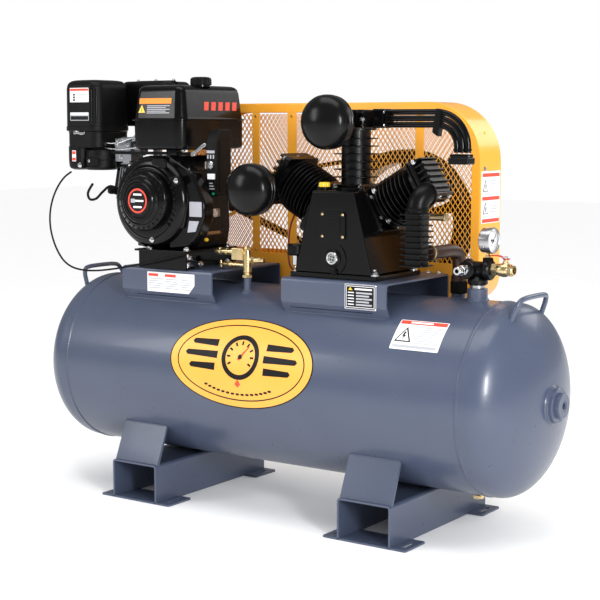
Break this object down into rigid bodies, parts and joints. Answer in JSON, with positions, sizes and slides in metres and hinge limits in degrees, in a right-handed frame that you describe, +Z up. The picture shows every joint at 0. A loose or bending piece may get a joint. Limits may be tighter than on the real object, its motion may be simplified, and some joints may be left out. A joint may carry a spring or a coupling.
{
  "type": "engine-driven air compressor",
  "caption": "Petrol-engine, belt-driven piston air compressor mounted on a horizontal air receiver with bent-plate feet, belt guard and outlet valve.",
  "frame": {"origin": "centre of the whole object's box on the floor under the feet", "axes": "+X along the receiver from the engine end to the outlet end, +Y from the operator's side to the belt guard, +Z up"},
  "size_m": [1.49, 0.516, 1.094],
  "materials": {
    "tank_paint": "smooth semi-gloss powder coat, slate grey",
    "guard_paint": "smooth semi-gloss powder coat, amber",
    "pump_iron": "satin black paint over sand-cast iron",
    "black_steel": "gloss black enamel",
    "black_plastic": "fine-textured moulded plastic",
    "engine_alloy": "die-cast",
    "shaft_steel": "machined and zinc plated",
    "brass": "turned",
    "gauge_steel": "polished stainless",
    "lever_red": "dipped vinyl over steel",
    "cap_yellow": "moulded",
    "sight_window": "polished",
    "belt_rubber": "matt"
  },
  "bodies": {
    "frame": {"tank_shell": "tank_paint", "tank_head_right": "tank_paint", "tank_head_left": "tank_paint", "tank_handle_right": "tank_paint", "tank_handle_left": "tank_paint", "foot_right": "tank_paint", "foot_left": "tank_paint", "pump_deck": "tank_paint", "engine_deck": "tank_paint", "drain_valve": "brass", "engine_base": "black_steel", "engine_block": "engine_alloy", "engine_cylinder": "engine_alloy", "engine_head": "engine_alloy", "fan_housing": "black_steel", "recoil_cover": "black_steel", "fuel_tank": "black_steel", "air_cleaner_cover": "black_plastic", "air_cleaner_base": "black_plastic", "carburetor": "engine_alloy", "muffler": "black_steel", "control_box": "black_plastic", "pump_crankcase": "pump_iron", "pump_cover": "pump_iron", "sight_glass": "sight_window", "cylinder_left": "pump_iron", "head_left": "pump_iron", "cylinder_centre": "pump_iron", "head_centre": "pump_iron", "cylinder_right": "pump_iron", "head_right": "pump_iron", "filter_centre": "black_plastic", "filter_left": "black_plastic", "intercooler": "black_steel", "aftercooler": "pump_iron", "discharge_pipe": "black_steel", "drive_belts": "belt_rubber", "guard_front": "guard_paint", "guard_rear": "guard_paint", "guard_band": "guard_paint", "outlet_tee": "pump_iron", "gauge_case": "gauge_steel", "ball_valve": "brass", "quick_plug": "shaft_steel", "pilot_valve": "brass", "throttle_cable": "belt_rubber"},
    "pump_crank": {"flywheel": "pump_iron", "pump_crankshaft": "shaft_steel"},
    "engine_crank": {"engine_crankshaft": "shaft_steel", "engine_pulley": "black_steel"},
    "recoil_pull": {"recoil_grip": "black_plastic"},
    "fuel_filler": {"fuel_cap": "black_plastic"},
    "ignition_key": {"key_switch": "shaft_steel"},
    "throttle": {"throttle_lever": "shaft_steel"},
    "oil_filler": {"oil_cap": "cap_yellow"},
    "outlet_lever": {"valve_lever": "lever_red"},
    "gauge_pointer": {"gauge_needle": "black_plastic"},
    "unloader_toggle": {"pilot_toggle": "brass"},
    "drain_tap": {"drain_knob": "brass"}
  },
  "joints": [
    {"name": "pump_spin", "type": "hinge", "parent": "frame", "child": "pump_crank", "pos_m": [0.19, 0.1, 0.722], "axis": [0, 1, 0], "continuous": true},
    {"name": "engine_spin", "type": "hinge", "parent": "frame", "child": "engine_crank", "pos_m": [-0.352, 0.1, 0.777], "axis": [0, 1, 0], "continuous": true},
    {"name": "recoil_slide", "type": "slide", "parent": "frame", "child": "recoil_pull", "axis": [0, -1, 0], "range_m": [0, 0.45], "stiffness_N_per_m": 30, "springref_m": -0.3},
    {"name": "fuel_cap_turn", "type": "hinge", "parent": "frame", "child": "fuel_filler", "pos_m": [-0.294, -0.034, 1.085], "axis": [0, 0, 1], "range_deg": [0, 90]},
    {"name": "key_turn", "type": "hinge", "parent": "frame", "child": "ignition_key", "pos_m": [-0.198, -0.12, 0.868], "axis": [0, -1, 0], "range_deg": [0, 60]},
    {"name": "throttle_swing", "type": "hinge", "parent": "frame", "child": "throttle", "pos_m": [-0.262, -0.108, 0.895], "axis": [0, -1, 0], "range_deg": [0, 35]},
    {"name": "oil_cap_turn", "type": "hinge", "parent": "frame", "child": "oil_filler", "pos_m": [0.146, -0.11, 0.82], "axis": [0, 0, 1], "range_deg": [0, 180]},
    {"name": "outlet_lever_turn", "type": "hinge", "parent": "frame", "child": "outlet_lever", "pos_m": [0.5918, -0.022, 0.66], "axis": [0, 0, 1], "range_deg": [0, 90]},
    {"name": "gauge_turn", "type": "hinge", "parent": "frame", "child": "gauge_pointer", "pos_m": [0.559, -0.022, 0.703], "axis": [-1, 0, 0], "range_deg": [0, 270], "stiffness_Nm_per_rad": 0.002, "springref_deg": -17.19},
    {"name": "unloader_pull", "type": "slide", "parent": "frame", "child": "unloader_toggle", "axis": [-1, 0, 0], "range_m": [0, 0.005], "stiffness_N_per_m": 400, "springref_m": -0.005},
    {"name": "drain_turn", "type": "hinge", "parent": "frame", "child": "drain_tap", "pos_m": [0.537, -0.04, 0.0955], "axis": [0, -1, 0], "range_deg": [0, 90]}
  ],
  "couplings": [
    {"joint": "engine_spin", "follows": "pump_spin", "ratio": 4.334}
  ]
}
